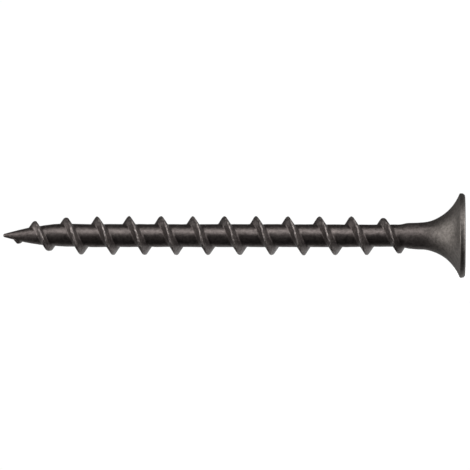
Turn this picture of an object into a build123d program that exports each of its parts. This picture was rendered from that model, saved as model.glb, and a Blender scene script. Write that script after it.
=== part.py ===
from build123d import *
import math
import os

os.makedirs("parts", exist_ok=True)

# Coarse-thread screw with a bugle head and a sharp point, in millimetres.
# Its axis is X: the flat face of the head is at x = 0 and the point is towards -X.

# Overall
LENGTH = 45.0

# Head: a flat face, a thin rounded rim, and a trumpet-shaped underside
HEAD_RADIUS = 4.09
FACE_ROUNDING = 0.36
UNDERSIDE_ROUNDING = 0.12
UNDERSIDE_X = -0.51
BUGLE_OUTER = (-1.24, 2.855)
BUGLE_INNER = (-2.41, 1.855)
BUGLE_END = (-4.20, 1.293)
BUGLE_OUTER_SLOPE = 64.0
BUGLE_END_SLOPE = 3.0

# Shank: a plain neck that narrows away from the head, a short shoulder, and the core
NECK_END = (-5.55, 1.225)
SHOULDER_END_X = -6.30
UPPER_CORE_RADIUS = 1.06
UPPER_CORE_X = -14.50
CORE_RADIUS = 1.09

# Point: a blunt tip, a straight cone, and an arc that runs into the core
TIP_RADIUS = 0.09
TIP_CONE_ANGLE = 14.6
TIP_CONE_LENGTH = 1.34
POINT_LENGTH = 6.44

# Thread: right-handed, single start, with straight flanks that meet in a narrow crest
PITCH = 3.094
CREST_ABOVE_AXIS_X = -8.01
CREST_RADIUS = 1.88
POINT_SIDE_FLANK = 29.0
HEAD_SIDE_FLANK = 31.0
THREAD_START_X = -44.10
THREAD_END_X = -5.45
FULL_THREAD_START_X = -37.60
FULL_THREAD_END_X = -9.60
# (x, crest radius) where the thread rises out of the point and where it fades into the neck
RISING_CREST = [(THREAD_START_X, 0.30), (-43.54, 0.78), (-41.95, 1.35), (-38.92, 1.70)]
FADING_CREST = [(-7.98, 1.74), (-6.46, 1.71), (THREAD_END_X, 1.10)]
# Each turn of the ridge is drawn a little too tall, then trimmed to the crest radius. It keeps
# its full height where it fades, so that its crest gets broader there as it gets lower.
RIDGE_ALLOWANCE = 0.05
# The ridge's foot is this far inside the core
FOOT_DEPTH = 0.22
MIN_FOOT_RADIUS = 0.06
POINTS_PER_TURN = 18

# Cross recess, size 2: four tapered wings inside a cone, with a conical floor
RECESS_RADIUS = 2.30
RECESS_CONE_ANGLE = 26.5
RECESS_WALL_DEPTH = 2.32
RECESS_FLOOR_ANGLE = 28.0
WING_WIDTH = 1.29
WING_DRAFT = 5.75
WING_CORNER_RADIUS = 0.30

TIP_X = -LENGTH
CONE_END_X = TIP_X + TIP_CONE_LENGTH
CONE_END_RADIUS = TIP_RADIUS + TIP_CONE_LENGTH * math.tan(math.radians(TIP_CONE_ANGLE))
POINT_END_X = TIP_X + POINT_LENGTH
FULL_THREAD = [(FULL_THREAD_START_X, CREST_RADIUS), (FULL_THREAD_END_X, CREST_RADIUS)]
CREST_LINE = RISING_CREST + FULL_THREAD + FADING_CREST
RECESS_FLOOR_RADIUS = RECESS_RADIUS - RECESS_WALL_DEPTH * math.tan(math.radians(RECESS_CONE_ANGLE))
RECESS_DEPTH = RECESS_WALL_DEPTH + RECESS_FLOOR_RADIUS * math.tan(math.radians(RECESS_FLOOR_ANGLE))


def slope(degrees):
    """Direction that climbs from the axis towards the head at this angle."""
    return (math.cos(math.radians(degrees)), math.sin(math.radians(degrees)))


def crest_radius(x):
    """Crest radius at x, on the straight lines that join the crest stations."""
    for (x0, r0), (x1, r1) in zip(CREST_LINE, CREST_LINE[1:]):
        if x <= x1:
            return r0 + (r1 - r0) * (x - x0) / (x1 - x0)
    return CREST_LINE[-1][1]


def foot_radius(x):
    """Radius of the ridge's foot at x, a little inside the core or the point."""
    if x > POINT_END_X:
        return UPPER_CORE_RADIUS - FOOT_DEPTH
    share = (POINT_END_X - x) / (POINT_END_X - TIP_X)
    core = CORE_RADIUS - (CORE_RADIUS - TIP_RADIUS) * share**1.7
    return max(core - FOOT_DEPTH, MIN_FOOT_RADIUS)


def ridge_point(turn, side):
    """Point on a long edge of the ridge: side -1 is the foot towards the point, 1 the
    foot towards the head, and 0 the crest. Turn 0 has its crest straight above the axis.
    """
    crest_x = CREST_ABOVE_AXIS_X + PITCH * turn
    crest = crest_radius(min(crest_x, FULL_THREAD_END_X)) + RIDGE_ALLOWANCE
    radius = crest if side == 0 else foot_radius(crest_x)
    flank = math.radians(POINT_SIDE_FLANK if side < 0 else HEAD_SIDE_FLANK)
    x = crest_x + side * (crest - radius) * math.tan(flank)
    angle = 2 * math.pi * turn + math.pi / 2
    return (x, radius * math.cos(angle), radius * math.sin(angle))


def ridge_solid(first, last):
    """Closed ridge with a triangular section, from turn `first` to turn `last`."""
    turns = [first + (last - first) * i / POINTS_PER_TURN for i in range(POINTS_PER_TURN + 1)]
    crest, point_foot, head_foot = [
        Edge.make_spline([ridge_point(turn, side) for turn in turns], parameters=turns)
        for side in (0, -1, 1)
    ]
    ends = [
        Face(Wire.make_polygon([edge @ place for edge in (crest, point_foot, head_foot)], close=True))
        for place in (0, 1)
    ]
    sides = [
        Face.make_surface_from_curves(crest, point_foot),
        Face.make_surface_from_curves(head_foot, crest),
        Face.make_surface_from_curves(point_foot, head_foot),
    ]
    return Solid(Shell(sides + ends))


# Everything inside the crest line, turned about the axis: it trims the ridge's crest
with BuildPart() as crest_envelope:
    with BuildSketch(Plane.XY):
        with BuildLine():
            Polyline(
                (THREAD_START_X - 1.0, 0),
                (THREAD_START_X - 1.0, RISING_CREST[0][1]),
                *CREST_LINE,
                (THREAD_END_X + 1.0, FADING_CREST[-1][1]),
                (THREAD_END_X + 1.0, 0),
                close=True,
            )
        make_face()
    revolve(axis=Axis.X)


def thread_turn(first, last):
    """One turn of the thread, trimmed to its crest radius."""
    with BuildPart() as turn:
        add(ridge_solid(first, last))
        add(crest_envelope.part, mode=Mode.INTERSECT)
    return turn.part


# Thread: equal pieces of about one turn each, end to end
first_turn = (THREAD_START_X - CREST_ABOVE_AXIS_X) / PITCH
last_turn = (THREAD_END_X - CREST_ABOVE_AXIS_X) / PITCH
piece_count = math.ceil(last_turn - first_turn)
piece_turns = (last_turn - first_turn) / piece_count
thread_turns = [
    thread_turn(first_turn + i * piece_turns, first_turn + (i + 1) * piece_turns)
    for i in range(piece_count)
]

# Recess punch: a cross with drafted wings, kept inside a cone with a conical floor
with BuildPart() as recess_punch:
    with BuildSketch(Plane.YZ) as cross:
        Rectangle(2 * RECESS_RADIUS + 1.0, WING_WIDTH)
        Rectangle(WING_WIDTH, 2 * RECESS_RADIUS + 1.0)
        inner_corners = cross.vertices().sort_by(lambda vertex: vertex.distance_to((0, 0, 0)))[:4]
        fillet(inner_corners, radius=WING_CORNER_RADIUS)
    extrude(amount=-RECESS_DEPTH - 0.5, taper=WING_DRAFT)
    with BuildSketch(Plane.XY):
        with BuildLine():
            Polyline(
                (0, 0),
                (0, RECESS_RADIUS),
                (-RECESS_WALL_DEPTH, RECESS_FLOOR_RADIUS),
                (-RECESS_DEPTH, 0),
                close=True,
            )
        make_face()
    revolve(axis=Axis.X, mode=Mode.INTERSECT)

# Screw: one headed and rolled piece, turned profile first, then thread and recess
with BuildPart() as screw:
    with BuildSketch(Plane.XY) as profile:
        with BuildLine():
            Polyline((TIP_X, 0), (TIP_X, TIP_RADIUS), (CONE_END_X, CONE_END_RADIUS))
            TangentArc(
                (CONE_END_X, CONE_END_RADIUS),
                (POINT_END_X, CORE_RADIUS),
                tangent=slope(TIP_CONE_ANGLE),
            )
            Polyline(
                (POINT_END_X, CORE_RADIUS),
                (UPPER_CORE_X, CORE_RADIUS),
                (SHOULDER_END_X, UPPER_CORE_RADIUS),
                NECK_END,
                BUGLE_END,
            )
            Spline(
                BUGLE_END,
                BUGLE_INNER,
                BUGLE_OUTER,
                (UNDERSIDE_X, HEAD_RADIUS),
                tangents=(slope(BUGLE_END_SLOPE), slope(BUGLE_OUTER_SLOPE)),
            )
            Polyline((UNDERSIDE_X, HEAD_RADIUS), (0, HEAD_RADIUS), (0, 0), (TIP_X, 0))
        make_face()
        rim_corners = profile.vertices().sort_by(Axis.Y)[-2:].sort_by(Axis.X)
        fillet(rim_corners[0], radius=UNDERSIDE_ROUNDING)
        face_corner = profile.vertices().group_by(Axis.X)[-1].sort_by(Axis.Y)[-1]
        fillet(face_corner, radius=FACE_ROUNDING)
    revolve(axis=Axis.X)
    add(thread_turns)
    add(recess_punch.part, mode=Mode.SUBTRACT)

screw.part.label = "screw"
export_step(screw.part, "parts/screw.step")
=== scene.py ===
import math

import bpy
import numpy as np
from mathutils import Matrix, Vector


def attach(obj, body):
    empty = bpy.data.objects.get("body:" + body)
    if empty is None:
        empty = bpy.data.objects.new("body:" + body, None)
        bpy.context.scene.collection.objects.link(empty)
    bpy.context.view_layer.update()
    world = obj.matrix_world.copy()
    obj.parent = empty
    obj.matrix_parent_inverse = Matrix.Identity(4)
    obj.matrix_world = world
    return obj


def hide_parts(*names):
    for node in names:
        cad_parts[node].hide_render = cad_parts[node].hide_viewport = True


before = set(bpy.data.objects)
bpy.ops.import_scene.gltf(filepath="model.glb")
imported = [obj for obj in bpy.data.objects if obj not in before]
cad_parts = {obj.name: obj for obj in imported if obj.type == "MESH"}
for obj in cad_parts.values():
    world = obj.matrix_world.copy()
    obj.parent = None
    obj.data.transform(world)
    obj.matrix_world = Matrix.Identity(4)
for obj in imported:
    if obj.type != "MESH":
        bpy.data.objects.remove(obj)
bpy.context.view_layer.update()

# Shape of the screw, in millimetres. The axis is X, with the head's face at x = 0.
MM = 0.001
COLUMNS = 128
TIP_X = -45.0
TIP_RADIUS = 0.115
CONE_SLOPE = math.tan(math.radians(14.6))
CONE_END_X = -43.66
POINT_END_X = -38.56
CORE_RADIUS = 1.09
UPPER_CORE_RADIUS = 1.06
UPPER_CORE_X = (-14.5, -8.0)
SHOULDER = (-6.45, -5.50)
NECK_RADIUS = 1.228
NECK_ROWS = (-5.0, -4.8, -4.6, -4.4)

# (x, how much of the cone's radius is left) where the tip gets blunt
TIP_ROWS = (
    (-44.45, 1),
    (-44.63, 1),
    (-44.78, 1),
    (-44.88, 0.98),
    (-44.94, 0.86),
    (-44.98, 0.55),
)

# Head: the trumpet-shaped underside is one curve with a handle at each end
BUGLE_START = (-4.20, 1.293)
NECK_SLOPE = (BUGLE_START[1] - NECK_RADIUS) / (BUGLE_START[0] - SHOULDER[1])
INNER_HANDLE = 1.42
OUTER_HANDLE = 1.85
BUGLE_OUTER_ANGLE = 67.4
UNDERSIDE_X = -0.51
UNDERSIDE_ROUNDING = 0.12
HEAD_RADIUS = 4.09
FACE_ROUNDING = 0.30
FACE_RINGS = (3.62, 3.45, 3.25, 3.02)

# The finished surface is moved out by this much. The face starts that much lower, so it ends
# up at x = 0.
EDGE_ALLOWANCE = 0.03
FACE_X = -EDGE_ALLOWANCE

# Thread: right-handed, single start
PITCH = 3.094
CREST_ABOVE_AXIS_X = -8.01
CREST_RADIUS = 1.86
POINT_SIDE_FLANK = math.tan(math.radians(29.0))
HEAD_SIDE_FLANK = math.tan(math.radians(31.0))
CREST_LINE_X = (-44.12, -43.54, -41.92, -40.50, -38.92, -37.30, -36.0, -9.60, -7.98, -6.40, -5.35)
CREST_LINE_R = (0.30, 0.78, 1.45, 1.52, 1.72, 1.83, CREST_RADIUS, CREST_RADIUS, 1.72, 1.72, 1.08)
THREAD_RINGS = (-44.25, -5.20)
RING_FADE = 0.5
SWAY_REACH = 0.8
FADING_X = (-8.0, -6.4)

# Crest: the flanks would meet at the apex, above a rounded crown. A fold lies beside the crown's
# middle, and gets deeper and wider where the thread isn't full height.
APEX_ABOVE_CREST = 0.045
CROWN_ABOVE_CREST = 0.008
CROWN_BLEND = 0.015
FOOT_BLEND = 0.10
FOLD_DEPTH = 0.016
FOLD_WIDTH = 0.025
FOLD_OFFSET = 0.03
OPEN_FOLD_DEPTH = 0.054
OPEN_FOLD_WIDTH = 0.040
UNDERCUT_DEPTH = 0.018
UNDERCUT_OFFSET = 0.66
UNDERCUT_WIDTH = 0.16

# Finish of the crest: a rubbed line, partly wear and partly a painted glint, a weaker one beside
# it on the head's side, and a seam on the point's side, whose dark colour is painted shade
RUBBED_GLINT_WIDTH = 0.065
SECOND_LINE_STRENGTH = 0.30
SECOND_LINE_OFFSET = 0.24
SECOND_LINE_WIDTH = 0.12
# The seam's dark line is painted shade of the fold beside the crest
SEAM_SHADE_OFFSET = -0.13
SEAM_SHADE_WIDTH = 0.055

# Height of the centre line, which rises and sinks a little, as it seems to in the photo
BEND_X = (-45.0, -41.5, -39.6, -38.4, -37.2, -22.0, -14.0, -11.0, -8.3, -5.8, -4.6, -3.4, -1.8)
BEND_Z = (0.012, 0.02, 0.055, 0.05, 0.0, 0.0, -0.012, -0.028, 0.0, -0.010, -0.050, -0.030, 0.0)

# Cross recess, size 2
MOUTH_RADIUS = 2.30
MOUTH_CONE = math.tan(math.radians(26.5))
WING_HALF_WIDTH = 0.645
WING_DRAFT = math.tan(math.radians(5.75))
WING_CORNER = 0.30
FLOOR_SLOPE = math.tan(math.radians(28.0))
RECESS_DEPTH = 2.93
FLOOR_BLUNTING = 0.05
MOUTH_WIDENING = 0.07
MOUTH_SINK = 0.03
# (depth, widening, wear) over the rounded mouth, down to the top of the straight walls
MOUTH_ROWS = ((0.045, 0.045, 0.7), (0.07, 0.018, 0.8), (0.12, 0.0, 0.5))
WALL_TOP = MOUTH_ROWS[-1][0]


def waves(seed, count, shortest, longest):
    """Smooth random field: a sum of plane waves with these wavelengths, about -1 to 1."""
    rng = np.random.default_rng(seed)
    directions = rng.normal(size=(count, 3))
    directions /= np.linalg.norm(directions, axis=1)[:, None]
    lengths = rng.uniform(shortest, longest, count)
    vectors = directions * (2 * math.pi / lengths)[:, None]
    phases = rng.uniform(0, 2 * math.pi, count)

    def field(points):
        return np.sin(points @ vectors.T + phases).sum(axis=-1) / math.sqrt(count)

    return field


dents = waves(3, 24, 1.4, 3.2)
ripples = waves(5, 40, 0.45, 0.9)
nicks = waves(8, 30, 0.25, 0.5)


def smooth_step(low, high, x):
    t = np.clip((x - low) / (high - low), 0.0, 1.0)
    return t * t * (3 - 2 * t)


def smooth_max(a, b, width):
    h = np.clip(width - np.abs(a - b), 0, None) / width
    return np.maximum(a, b) + h * h * width / 4


def smooth_min(a, b, width):
    return -smooth_max(-a, -b, width)


def bell(x, middle, width):
    """1 in the middle, fading smoothly to both sides."""
    return np.exp(-(((x - middle) / width) ** 2))


def core_radius(x):
    """Radius of the point, the core, the shoulder and the neck, without the thread."""
    cone = TIP_RADIUS + (x - TIP_X) * CONE_SLOPE
    cone_end = TIP_RADIUS + (CONE_END_X - TIP_X) * CONE_SLOPE
    share = np.clip((POINT_END_X - x) / (POINT_END_X - CONE_END_X), 0, 1)
    arc = CORE_RADIUS - (CORE_RADIUS - cone_end) * share**2
    core = arc + (UPPER_CORE_RADIUS - CORE_RADIUS) * smooth_step(*UPPER_CORE_X, x)
    neck = NECK_RADIUS + NECK_SLOPE * (x - SHOULDER[1])
    core = core + (neck - core) * smooth_step(*SHOULDER, x)
    return np.where(x < CONE_END_X, cone, core)


def place(x, radius, angle):
    """Points around the centre line, which bends slightly."""
    z = radius * np.sin(angle) + np.interp(x, BEND_X, BEND_Z)
    return np.stack([x, radius * np.cos(angle), z], axis=-1)


# One pitch of rows, as distances from the crest: close together on the crest and at its feet
ONE_SIDE = np.array(
    [0.02, 0.045, 0.075, 0.11, 0.15, 0.20, 0.26, 0.32, 0.38, 0.43, 0.48, 0.53, 0.59, 0.68]
    + [0.80, 0.96, 1.16, 1.36]
)
PITCH_ROWS = np.concatenate([[-PITCH / 2], -ONE_SIDE[::-1], [0.0], ONE_SIDE])
ANGLES = np.arange(COLUMNS) * 2 * math.pi / COLUMNS


def crest_sway(crest_x):
    """How far the crest strays along the axis: most near the point, and where it fades."""
    phase = crest_x / PITCH
    sway = (0.018 + 0.035 * smooth_step(-36.0, -40.0, crest_x)) * np.sin(ANGLES)
    sway += 0.018 * np.sin(phase * 7.3 + 1.0) + 0.012 * np.sin(phase * 23.0)
    sway += 0.09 * smooth_step(*FADING_X, crest_x)
    return sway


def crest_top(crest_x):
    """Crest radius, with a rolled thread's unevenness, and how far the crest is rolled, 0 to 1."""
    phase = crest_x / PITCH
    top = np.interp(crest_x, CREST_LINE_X, CREST_LINE_R)
    rolled = smooth_step(0.9, 1.5, top)
    top = top + rolled * (0.010 * np.sin(phase * 17.0) + 0.008 * np.sin(phase * 41.0 + 2.0))
    return top, rolled


def ridge_radius(offset, crest_x, top, rolled):
    """Radius of the ridge alone, at this distance from the crest."""
    unfinished = np.clip((CREST_RADIUS - 0.01 - top) / 0.12, 0, 1) * rolled
    # The crest is a little broader below the axis, and where the fold is open
    apex = top + APEX_ABOVE_CREST - 0.030 * np.sin(ANGLES)
    apex = apex + 0.07 * unfinished * smooth_step(-41.5, -40.5, crest_x)
    fold_depth = FOLD_DEPTH + OPEN_FOLD_DEPTH * unfinished
    fold_width = FOLD_WIDTH + OPEN_FOLD_WIDTH * unfinished
    fold_middle = -FOLD_OFFSET * (1 - unfinished)
    crown = top + CROWN_ABOVE_CREST - fold_depth * bell(offset, fold_middle, fold_width)
    flank = POINT_SIDE_FLANK if offset < 0 else HEAD_SIDE_FLANK
    return smooth_min(apex - abs(offset) / flank, crown, CROWN_BLEND)


def crest_wear_and_painted_light(offset, crest_x, rolled):
    """Above 0 where the coating is rubbed lighter, partly wear and partly a painted glint, and
    below 0 in the seam, whose dark colour is painted shade.

    Rolling leaves a rubbed line that wanders about the crest, with the seam beside it. Its
    lighter colour also paints the crest's glint, and the seam's darkness paints the fold's
    shade. It is fainter near the point and on the last turn.
    """
    phase = crest_x / PITCH
    # The rubbed line's lighter colour is partly wear and partly a painted glint; the seam's
    # darkness is painted shade
    rubbed_glint_line = 0.040 * np.sin(phase * 92.0) + 0.030 * np.sin(phase * 57.0 + 1.0)
    rubbed_and_glint = bell(offset, rubbed_glint_line, RUBBED_GLINT_WIDTH)
    rubbed_and_glint = rubbed_and_glint + SECOND_LINE_STRENGTH * bell(offset, SECOND_LINE_OFFSET, SECOND_LINE_WIDTH)
    seam_shade = bell(offset, rubbed_glint_line + SEAM_SHADE_OFFSET, SEAM_SHADE_WIDTH)
    near_point = smooth_step(-34.0, -38.5, crest_x)
    last_turn = smooth_step(-10.0, -8.0, crest_x)
    faint = 1 - 0.55 * near_point - 0.35 * last_turn
    return (rubbed_and_glint * faint - seam_shade) * rolled


def thread_surface(turn, offset):
    """Points, and wear with the painted glint and shade, for one row of one turn. offset is the
    distance from the crest.
    """
    crest_x = CREST_ABOVE_AXIS_X + PITCH * (turn + ANGLES / (2 * math.pi) - 0.25)
    x = crest_x + offset + crest_sway(crest_x) * bell(offset, 0.0, SWAY_REACH)
    x = np.clip(x, *THREAD_RINGS)
    top, rolled = crest_top(crest_x)
    radius = smooth_max(core_radius(x), ridge_radius(offset, crest_x, top, rolled), FOOT_BLEND)
    undercut = UNDERCUT_DEPTH * bell(offset, UNDERCUT_OFFSET, UNDERCUT_WIDTH)
    radius = radius - undercut * smooth_step(1.2, 1.7, top)
    points = place(x, radius, ANGLES)
    edge_fade = smooth_step(THREAD_RINGS[0], THREAD_RINGS[0] + RING_FADE, x)
    edge_fade = edge_fade * smooth_step(THREAD_RINGS[1], THREAD_RINGS[1] - RING_FADE, x)
    on_crest = smooth_step(0.16, 0.04, abs(offset)) * rolled
    uneven = 0.007 * dents(points) + 0.0045 * ripples(points) + 0.006 * nicks(points) * on_crest
    points = place(x, radius + uneven * edge_fade, ANGLES)
    return points, crest_wear_and_painted_light(offset, crest_x, rolled)


class Surface:
    """Vertices, faces, and values of wear and painted light, that grow row by row."""

    def __init__(self):
        self.points = []
        self.wear_and_painted_light = []
        self.faces = []

    def add(self, points, wear_and_painted_light):
        start = len(self.points)
        self.points.extend(points.tolist())
        self.wear_and_painted_light.extend(np.broadcast_to(wear_and_painted_light, (len(points),)).tolist())
        return list(range(start, start + len(points)))

    def face(self, *corners):
        """A face without its repeated corners, if at least three are left."""
        kept = [c for i, c in enumerate(corners) if c != corners[i - 1]]
        if len(set(kept)) > 2:
            self.faces.append(kept)

    def join(self, row, following):
        """Quads between two closed rows of the same length."""
        for m in range(len(row)):
            n = (m + 1) % len(row)
            self.face(row[m], row[n], following[n], following[m])

    def extend(self, row, points, wear_and_painted_light):
        """Adds a closed row, joins it to the one before, and gives it back."""
        following = self.add(points, wear_and_painted_light)
        self.join(row, following)
        return following

    def close(self, row, apex):
        """Triangles from a closed row to one point."""
        for m in range(len(row)):
            self.face(row[m], row[(m + 1) % len(row)], apex)


def add_thread(surface):
    """Rows that follow the helix between two plain rings. Returns the rings."""
    rings = []
    for ring_x in THREAD_RINGS:
        x = np.full(COLUMNS, ring_x)
        rings.append(surface.add(place(x, core_radius(x), ANGLES), 0.0))
    first_turn = math.floor((THREAD_RINGS[0] - CREST_ABOVE_AXIS_X) / PITCH) - 1
    last_turn = math.ceil((THREAD_RINGS[1] - CREST_ABOVE_AXIS_X) / PITCH) + 1
    rows = []
    for turn in range(first_turn, last_turn + 1):
        for offset in PITCH_ROWS:
            points, wear_and_painted_light = thread_surface(turn, offset)
            row = []
            for m in range(COLUMNS):
                if points[m, 0] <= THREAD_RINGS[0]:
                    row.append(rings[0][m])
                elif points[m, 0] >= THREAD_RINGS[1]:
                    row.append(rings[1][m])
                else:
                    row.extend(surface.add(points[m : m + 1], wear_and_painted_light[m]))
            rows.append(row)
    per_pitch = len(PITCH_ROWS)
    for r in range(len(rows) - per_pitch - 1):
        for m in range(COLUMNS - 1):
            surface.face(rows[r][m], rows[r][m + 1], rows[r + 1][m + 1], rows[r + 1][m])
        # The last column meets the first one a whole pitch further on
        ahead = r + per_pitch
        surface.face(rows[r][-1], rows[ahead][0], rows[ahead + 1][0], rows[r + 1][-1])
    return rings


def add_tip(surface, ring):
    """Plain rows from the first ring to the blunt tip, which is rubbed a little lighter."""
    tip_wear = 0.3
    row = ring
    for x, blunt in TIP_ROWS:
        xs = np.full(COLUMNS, x)
        wear_and_painted_light = tip_wear * smooth_step(-44.7, TIP_X, x)
        row_next = surface.add(place(xs, core_radius(xs) * blunt, ANGLES), wear_and_painted_light)
        surface.join(row_next, row)
        row = row_next
    apex = surface.add(np.array([[TIP_X, 0.0, 0.0]]), tip_wear)[0]
    surface.close(row[::-1], apex)


def arc(centre, radius, start, end, count):
    """Points on an arc, as (x, r), with angles in degrees from the X axis."""
    angles = np.radians(np.linspace(start, end, count))
    return [(centre[0] + radius * math.cos(a), centre[1] + radius * math.sin(a)) for a in angles]


def head_profile():
    """(x, r, wear) from the neck over the trumpet-shaped underside and the rim to the face."""
    rows = [(x, float(core_radius(np.array(x))), 0.0) for x in NECK_ROWS]
    outer = math.radians(BUGLE_OUTER_ANGLE)
    tangent = UNDERSIDE_ROUNDING * math.tan(outer / 2)
    end = (UNDERSIDE_X - tangent * math.cos(outer), HEAD_RADIUS - tangent * math.sin(outer))
    inner = math.atan(NECK_SLOPE)
    handle_in = (
        BUGLE_START[0] + INNER_HANDLE * math.cos(inner),
        BUGLE_START[1] + INNER_HANDLE * math.sin(inner),
    )
    handle_out = (end[0] - OUTER_HANDLE * math.cos(outer), end[1] - OUTER_HANDLE * math.sin(outer))
    for t in np.linspace(0, 1, 30):
        weights = ((1 - t) ** 3, 3 * t * (1 - t) ** 2, 3 * t * t * (1 - t), t**3)
        handles = (BUGLE_START, handle_in, handle_out, end)
        x = sum(w * p[0] for w, p in zip(weights, handles))
        r = sum(w * p[1] for w, p in zip(weights, handles))
        rows.append((x, r, 0.0))
    corner_centre = (UNDERSIDE_X + tangent, HEAD_RADIUS - UNDERSIDE_ROUNDING)
    corner = arc(corner_centre, UNDERSIDE_ROUNDING, 90 + BUGLE_OUTER_ANGLE, 90, 5)
    rows += [(x, r, 0.0) for x, r in corner[1:]]
    face_centre = (FACE_X - FACE_ROUNDING, HEAD_RADIUS - FACE_ROUNDING)
    rows += [(x, r, 0.15) for x, r in arc(face_centre, FACE_ROUNDING, 90, 0, 8)]
    rows += [(FACE_X, r, 0.0) for r in FACE_RINGS]
    return rows


def cross_outline(depth, widen=0.0):
    """The recess's outline at this depth, as (y, z) points, one for each column.

    depth may differ from column to column. Each wing has a round end, two straight walls
    and a rounded corner at each side.
    """
    half = COLUMNS // 8
    ends, walls = 5, 7
    points = np.zeros((COLUMNS, 2))
    for m in range(COLUMNS):
        width = WING_HALF_WIDTH - depth[m] * WING_DRAFT + widen
        reach = MOUTH_RADIUS - depth[m] * MOUTH_CONE + widen
        wall_outer = math.sqrt(reach**2 - width**2)
        wall_inner = width + WING_CORNER
        step = (m + half) % (2 * half) - half
        k = abs(step)
        if k <= ends:
            a = math.atan2(width, wall_outer) * k / ends
            y, z = reach * math.cos(a), reach * math.sin(a)
        elif k <= ends + walls:
            share = (k - ends) / walls
            y = wall_outer + (wall_inner - wall_outer) * share
            z = width
        else:
            turn = math.radians(45) * (k - ends - walls) / (half - ends - walls)
            y = width + WING_CORNER - WING_CORNER * math.sin(turn)
            z = width + WING_CORNER - WING_CORNER * math.cos(turn)
        z = math.copysign(z, step) if k else 0.0
        quarter = round((m - step) / (2 * half)) * math.pi / 2
        points[m] = (
            y * math.cos(quarter) - z * math.sin(quarter),
            y * math.sin(quarter) + z * math.cos(quarter),
        )
    return points


def add_head(surface, ring):
    """Neck, underside, rim and flat face. Returns the last ring of the flat face."""
    row = ring
    for x, r, wear_and_painted_light in head_profile():
        xs = np.full(COLUMNS, x)
        points = place(xs, np.full(COLUMNS, r), ANGLES)
        uneven = 0.008 * dents(points) + 0.002 * ripples(points)
        uneven = uneven * smooth_step(THREAD_RINGS[1], -4.6, x) * smooth_step(FACE_X, -0.3, x)
        row = surface.extend(row, place(xs, r + uneven, ANGLES), wear_and_painted_light)
    return row


def add_mouth(surface, ring):
    """The flat face from its last ring to the recess, and the recess's rounded mouth."""
    row = ring
    outer = place(np.full(COLUMNS, FACE_X), np.full(COLUMNS, FACE_RINGS[-1]), ANGLES)[:, 1:]
    mouth = cross_outline(np.zeros(COLUMNS), widen=MOUTH_WIDENING)
    # The face sinks a little towards the mouth, where the punch drew it in
    for share in (0.2, 0.4, 0.6, 0.78, 0.9, 1.0):
        yz = outer + (mouth - outer) * share
        x = FACE_X - MOUTH_SINK * smooth_step(0.5, 1.0, share)
        wear_and_painted_light = 0.3 if share == 1.0 else 0.0
        row = surface.extend(row, np.column_stack([np.full(COLUMNS, x), yz]), wear_and_painted_light)
    for depth, widen, wear_and_painted_light in MOUTH_ROWS:
        yz = cross_outline(np.full(COLUMNS, depth), widen=widen)
        row = surface.extend(row, np.column_stack([np.full(COLUMNS, -depth), yz]), wear_and_painted_light)
    return row


def add_recess(surface, ring):
    """The recess's walls, from its mouth to its conical floor."""
    row = ring
    # Where wall and floor meet depends on how far out the wall is there, so it is found in turns
    floor_depth = np.full(COLUMNS, 2.3)
    for _ in range(6):
        reach = np.linalg.norm(cross_outline(floor_depth), axis=1)
        floor_depth = RECESS_DEPTH - reach * FLOOR_SLOPE
    for share in (0.08, 0.2, 0.35, 0.5, 0.65, 0.8, 0.92, 0.985):
        depth = WALL_TOP + (floor_depth - WALL_TOP) * share
        row = surface.extend(row, np.column_stack([-depth, cross_outline(depth)]), 0.0)
    bottom = cross_outline(floor_depth)
    centre_depth = RECESS_DEPTH - FLOOR_BLUNTING
    for share in (0.95, 0.75, 0.5, 0.3, 0.15):
        yz = bottom * share
        depth = RECESS_DEPTH - np.linalg.norm(yz, axis=1) * FLOOR_SLOPE
        depth = smooth_min(depth, np.full(COLUMNS, centre_depth), 2 * FLOOR_BLUNTING)
        row = surface.extend(row, np.column_stack([-depth, yz]), 0.0)
    apex = surface.add(np.array([[-centre_depth, 0.0, 0.0]]), 0.0)[0]
    surface.close(row, apex)


def make_screw():
    """The whole screw as one closed mesh, from the tip to the recess."""
    surface = Surface()
    point_ring, neck_ring = add_thread(surface)
    add_tip(surface, point_ring)
    face_ring = add_head(surface, neck_ring)
    mouth_ring = add_mouth(surface, face_ring)
    add_recess(surface, mouth_ring)
    mesh = bpy.data.meshes.new("screw_body")
    points = np.array(surface.points) * MM
    mesh.from_pydata(points.tolist(), [], surface.faces)
    mesh.validate()
    # A rendered edge is blended with the white behind it, which makes the outline read thin, so
    # the surface stands a little further out
    normals = np.empty(len(mesh.vertices) * 3, dtype=np.float32)
    mesh.vertex_normals.foreach_get("vector", normals)
    moved_out = points + normals.reshape(-1, 3) * EDGE_ALLOWANCE * MM
    mesh.vertices.foreach_set("co", moved_out.astype(np.float32).ravel())
    # Per-vertex wear, which also carries the crests' painted glint and the seam's painted shade
    wear_and_painted_light = mesh.attributes.new("wear_and_painted_light", "FLOAT", "POINT")
    wear_and_painted_light.data.foreach_set("value", np.array(surface.wear_and_painted_light, dtype=np.float32))
    mesh.shade_smooth()
    mesh.set_sharp_from_angle(angle=math.radians(50))
    screw = bpy.data.objects.new("screw_body", mesh)
    bpy.context.collection.objects.link(screw)
    return screw


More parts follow.
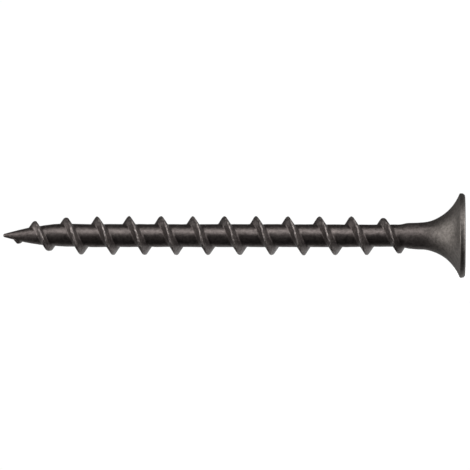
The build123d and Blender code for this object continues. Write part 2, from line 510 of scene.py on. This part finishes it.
class Nodes:
    """Short way to write a node tree: each call adds a node and gives its output."""

    def __init__(self, tree):
        self.tree = tree
        tree.nodes.clear()

    def add(self, kind, inputs, output=0, **settings):
        node = self.tree.nodes.new(kind)
        for name, value in settings.items():
            setattr(node, name, value)
        for name, value in inputs.items():
            socket = node.inputs[name]
            if isinstance(value, bpy.types.NodeSocket):
                self.tree.links.new(value, socket)
            else:
                socket.default_value = value
        return node.outputs[output] if node.outputs else None

    def math(self, operation, a, b=0.0, c=0.0):
        return self.add("ShaderNodeMath", {0: a, 1: b, 2: c}, operation=operation)

    def vector(self, operation, inputs, output=0):
        return self.add("ShaderNodeVectorMath", inputs, output, operation=operation)

    def ramp(self, value, low, high):
        """value from low to high gives 0 to 1, smoothly."""
        inputs = {"Value": value, "From Min": low, "From Max": high}
        return self.add("ShaderNodeMapRange", inputs, interpolation_type="SMOOTHSTEP")

    def noise(self, position, scale, detail=3.0, roughness=0.55):
        inputs = {"Vector": position, "Scale": scale, "Detail": detail, "Roughness": roughness}
        return self.add("ShaderNodeTexNoise", inputs)

    def mix(self, factor, a, b):
        inputs = {"Factor": factor, "A": a, "B": b}
        return self.add("ShaderNodeMix", inputs, output="Result", data_type="RGBA")


# Colours of the coating, dark to light: warm on the shank, and more neutral on the head
WARM_DARK = (0.064, 0.054, 0.051, 1)
WARM_LIGHT = (0.142, 0.122, 0.116, 1)
NEUTRAL_DARK = (0.062, 0.055, 0.050, 1)
NEUTRAL_LIGHT = (0.135, 0.121, 0.111, 1)
# The seam colour is painted shade of the fold beside the crest
SEAM_SHADE_COLOUR = (0.020, 0.017, 0.016, 1)
# The rubbed colour is partly worn coating and partly a painted glint on the crest
RUBBED_AND_GLINT_COLOUR = (0.32, 0.289, 0.276, 1)
SEAM_SHADE_DARKENING = 0.75


def phosphate_steel():
    """Black phosphate over steel: dark, warm grey, mottled, with the crests rubbed lighter and a
    painted glint on them, and painted shade in the seam.
    """
    material = bpy.data.materials.new("phosphate_steel")
    material.use_nodes = True
    nodes = Nodes(material.node_tree)
    metres = nodes.add("ShaderNodeTexCoord", {}, output="Object")
    position = nodes.vector("SCALE", {0: metres, "Scale": 1 / MM})
    stretched = nodes.vector("MULTIPLY", {0: position, 1: (7.0, 1.0, 1.0)})
    crystals = nodes.noise(position, 14.0, detail=4.0, roughness=0.7)
    blotches = nodes.noise(position, 3.4, detail=3.0, roughness=0.6)
    mottle = nodes.noise(position, 1.3, detail=2.0)
    streaks = nodes.noise(stretched, 0.9)

    # The wear value is above 0 where the coating is rubbed, which is partly wear and partly a
    # painted glint, and below 0 in the seam, where it paints shade
    wear_and_painted_light = nodes.add("ShaderNodeAttribute", {}, output="Fac", attribute_name="wear_and_painted_light")
    broken = nodes.ramp(nodes.noise(position, 5.0, detail=4.0, roughness=0.75), 0.44, 0.60)
    rubbed_and_glint = nodes.math("MULTIPLY", nodes.math("MAXIMUM", wear_and_painted_light, 0.0), broken)
    seam_shade = nodes.math("MAXIMUM", nodes.math("MULTIPLY", wear_and_painted_light, -1.0), 0.0)

    along = nodes.add("ShaderNodeSeparateXYZ", {0: position}, output="X")
    on_neck = nodes.ramp(along, -7.0, -5.0)
    on_head = nodes.ramp(along, -5.0, -2.0)

    tone = nodes.math("MULTIPLY_ADD", blotches, 0.55, nodes.math("MULTIPLY", crystals, 0.45))
    tone = nodes.ramp(tone, 0.33, 0.67)
    warm = nodes.mix(tone, WARM_DARK, WARM_LIGHT)
    neutral = nodes.mix(tone, NEUTRAL_DARK, NEUTRAL_LIGHT)
    coating = nodes.mix(on_head, warm, neutral)
    # Painted shade darkens the seam; the rubbed colour, partly wear and partly a painted glint,
    # lightens the crest
    coating = nodes.mix(nodes.math("MULTIPLY", seam_shade, SEAM_SHADE_DARKENING), coating, SEAM_SHADE_COLOUR)
    colour = nodes.mix(rubbed_and_glint, coating, RUBBED_AND_GLINT_COLOUR)

    rough = nodes.math("MULTIPLY_ADD", mottle, 0.26, 0.22)
    rough = nodes.math("MULTIPLY_ADD", on_neck, 0.10, rough)
    rough = nodes.math("MULTIPLY_ADD", rubbed_and_glint, -0.06, rough)
    rough = nodes.math("MULTIPLY_ADD", seam_shade, 0.25, rough)

    height = nodes.math("MULTIPLY_ADD", crystals, 0.32, nodes.math("MULTIPLY", streaks, 0.20))
    height = nodes.math("MULTIPLY_ADD", blotches, 0.65, height)
    relief = nodes.math("MULTIPLY_ADD", on_head, -0.35, 0.70)
    inputs = {"Height": height, "Strength": relief, "Distance": 0.05 * MM}
    bump = nodes.add("ShaderNodeBump", inputs)

    inputs = {"Base Color": colour, "Metallic": 0.85, "Roughness": rough, "Normal": bump}
    shader = nodes.add("ShaderNodeBsdfPrincipled", inputs)
    nodes.add("ShaderNodeOutputMaterial", {"Surface": shader})
    return material


def floor_material():
    """Plain white light table: it glows evenly, and shows only faint shadows."""
    material = bpy.data.materials.new("pale_floor")
    material.use_nodes = True
    nodes = Nodes(material.node_tree)
    metres = nodes.add("ShaderNodeTexCoord", {}, output="Object")
    grain = nodes.noise(metres, 900.0, detail=2.0)
    colour = nodes.mix(grain, (0.83, 0.83, 0.83, 1), (0.87, 0.87, 0.87, 1))
    inputs = {
        "Base Color": colour,
        "Roughness": 0.9,
        "Specular IOR Level": 0.0,
        "Emission Color": (1, 1, 1, 1),
        "Emission Strength": 0.44,
    }
    shader = nodes.add("ShaderNodeBsdfPrincipled", inputs)
    nodes.add("ShaderNodeOutputMaterial", {"Surface": shader})
    return material


def make_floor():
    """A pale sheet, level with the axis, just below the rim."""
    half = 0.5
    mesh = bpy.data.meshes.new("floor")
    corners = [(-half, -half, 0), (half, -half, 0), (half, half, 0), (-half, half, 0)]
    mesh.from_pydata(corners, [], [(0, 1, 2, 3)])
    mesh.materials.append(floor_material())
    floor = bpy.data.objects.new("floor", mesh)
    bpy.context.collection.objects.link(floor)
    floor.location.z = -(HEAD_RADIUS + 2 * EDGE_ALLOWANCE) * MM
    # The screw doesn't mirror the floor, and isn't lit or shaded by it
    floor.visible_glossy = False
    floor.visible_diffuse = False
    floor.visible_shadow = False


# Soft panels around the screw: the way to the panel's middle, how focused it is, its brightness.
# The brightnesses were first fitted to the photo's, then rounded and changed.
PANELS = (
    ((-0.75, -0.50, 0.42), 10.0, 1.2),
    ((0.00, -0.70, 0.70), 14.0, 4.1),
    ((0.75, -0.33, 0.57), 10.0, 1.4),
    ((-0.90, -0.43, 0.00), 10.0, 3.0),
    ((0.90, -0.43, 0.00), 10.0, 0.9),
    ((-1.00, 0.00, 0.00), 14.0, 1.4),
    ((-0.97, 0.00, 0.24), 14.0, 2.3),
    ((0.97, 0.00, 0.24), 14.0, 5.6),
    ((0.00, 0.70, -0.70), 8.0, 0.62),
    ((0.60, 0.75, -0.27), 8.0, 0.86),
    ((-0.72, 0.66, -0.20), 14.0, 0.52),
    ((0.00, 0.90, 0.43), 10.0, 0.12),
    ((-0.75, 0.00, -0.66), 14.0, 0.46),
)
WHITE = (1, 1, 1, 1)
BACKDROP_BRIGHTNESS = 1.02


def soft_panel(nodes, towards, middle, focus, brightness):
    """Light that is strongest from the panel's middle and fades away from it."""
    inputs = {0: towards, 1: Vector(middle).normalized()}
    facing = nodes.vector("DOT_PRODUCT", inputs, output="Value")
    facing = nodes.math("MAXIMUM", facing, 0.0)
    return nodes.math("MULTIPLY", nodes.math("POWER", facing, focus), brightness)


def make_studio():
    """Soft panels all round as the only light, and plain white for the camera."""
    world = bpy.data.worlds.new("studio")
    bpy.context.scene.world = world
    world.use_nodes = True
    nodes = Nodes(world.node_tree)
    towards = nodes.add("ShaderNodeTexCoord", {}, output="Generated")
    strength = 0.0
    for middle, focus, brightness in PANELS:
        panel = soft_panel(nodes, towards, middle, focus, brightness)
        strength = nodes.math("ADD", panel, strength)
    surround = nodes.add("ShaderNodeBackground", {"Color": WHITE, "Strength": strength})
    inputs = {"Color": WHITE, "Strength": BACKDROP_BRIGHTNESS}
    backdrop = nodes.add("ShaderNodeBackground", inputs)
    to_camera = nodes.add("ShaderNodeLightPath", {}, output="Is Camera Ray")
    mixed = nodes.add("ShaderNodeMixShader", {0: to_camera, 1: surround, 2: backdrop})
    nodes.add("ShaderNodeOutputWorld", {"Surface": mixed})


# Camera: how far away it is, what it is level with, and how much it sees from side to side
CAMERA_DISTANCE = 1.5
CAMERA_X = -22.43 * MM
CAMERA_Z = 0.058 * MM
VIEW_WIDTH = 45.80 * MM


def make_camera():
    """A long lens, level with the axis and square to it, from the -Y side."""
    camera = bpy.data.cameras.new("camera")
    camera.sensor_width = 36.0
    camera.lens = camera.sensor_width * CAMERA_DISTANCE / VIEW_WIDTH
    camera.clip_start = 0.1
    camera.clip_end = 10.0
    holder = bpy.data.objects.new("camera", camera)
    bpy.context.collection.objects.link(holder)
    holder.location = Vector((CAMERA_X, -CAMERA_DISTANCE, CAMERA_Z))
    holder.rotation_euler = (math.radians(90), 0.0, 0.0)
    bpy.context.scene.camera = holder


screw = make_screw()
screw.data.materials.append(phosphate_steel())
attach(screw, "root")
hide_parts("screw")

make_floor()
make_studio()
make_camera()
bpy.context.scene.view_settings.view_transform = "Standard"
